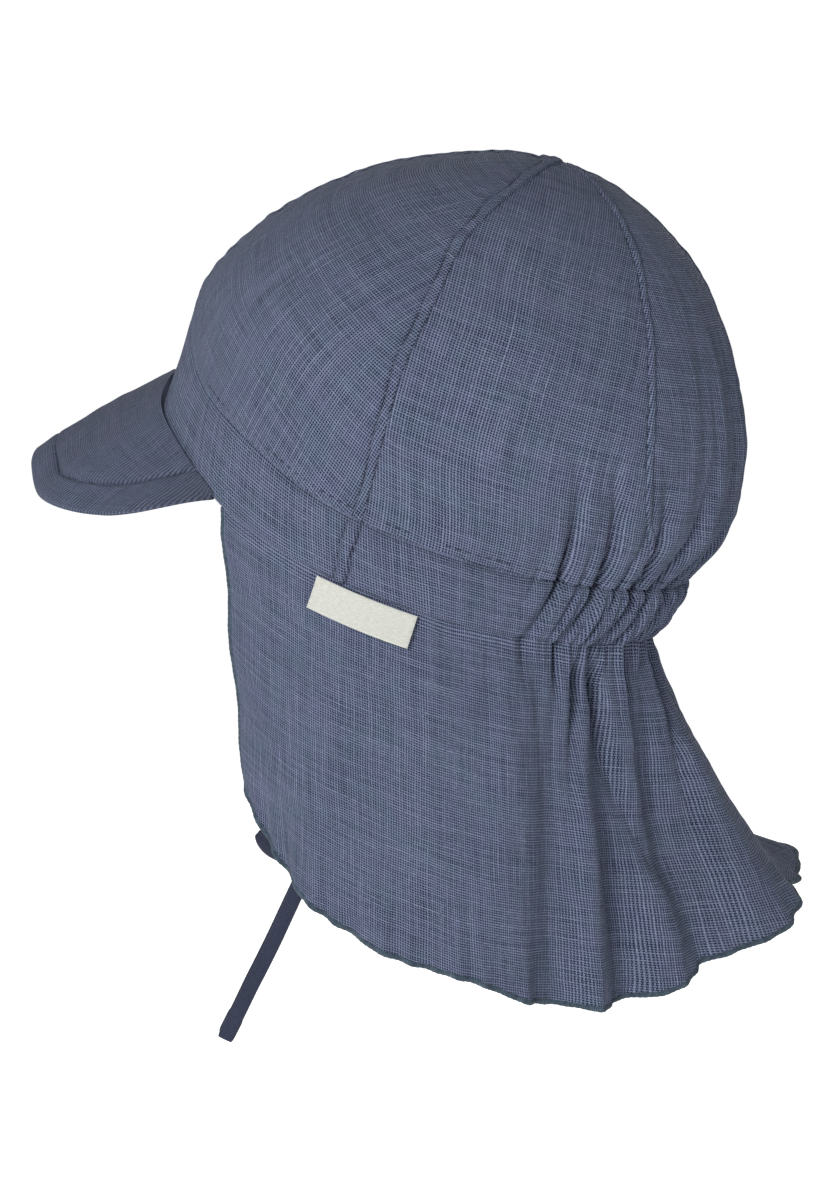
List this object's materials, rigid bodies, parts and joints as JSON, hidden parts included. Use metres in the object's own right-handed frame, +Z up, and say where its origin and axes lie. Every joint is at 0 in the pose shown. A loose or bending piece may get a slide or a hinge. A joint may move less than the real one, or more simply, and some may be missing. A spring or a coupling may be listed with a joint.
{
  "type": "legionnaire cap",
  "caption": "Soft cotton baby sun hat: panelled crown, gathered hem band, padded peak, neck flap with rolled hem, and chin ties in a bow.",
  "frame": {"origin": "middle of the opening where the head goes in, at the level of the band's lower edge", "axes": "+Z up as worn, the peak points to -Y, the wearer's left side is +X; the hat sits tilted with its front up"},
  "size_m": [0.154, 0.2342, 0.2722],
  "materials": {
    "cloth": "slubbed cotton muslin, matt",
    "hem_thread": "dense overlock thread",
    "label_tape": "woven satin tape, bare",
    "tie_cloth": "folded and stitched cotton strip"
  },
  "bodies": {
    "root": {"crown_front_left": "cloth", "crown_front_right": "cloth", "crown_side_left": "cloth", "crown_side_right": "cloth", "crown_back_left": "cloth", "crown_back_right": "cloth", "hem_band": "cloth", "peak": "cloth", "neck_flap": "cloth", "flap_hem": "hem_thread", "label": "label_tape", "tie_left": "tie_cloth", "tie_right": "tie_cloth", "tie_end_left": "tie_cloth", "tie_end_right": "tie_cloth", "bow_loop_left": "tie_cloth", "bow_loop_right": "tie_cloth", "bow_knot": "tie_cloth"}
  },
  "joints": []
}
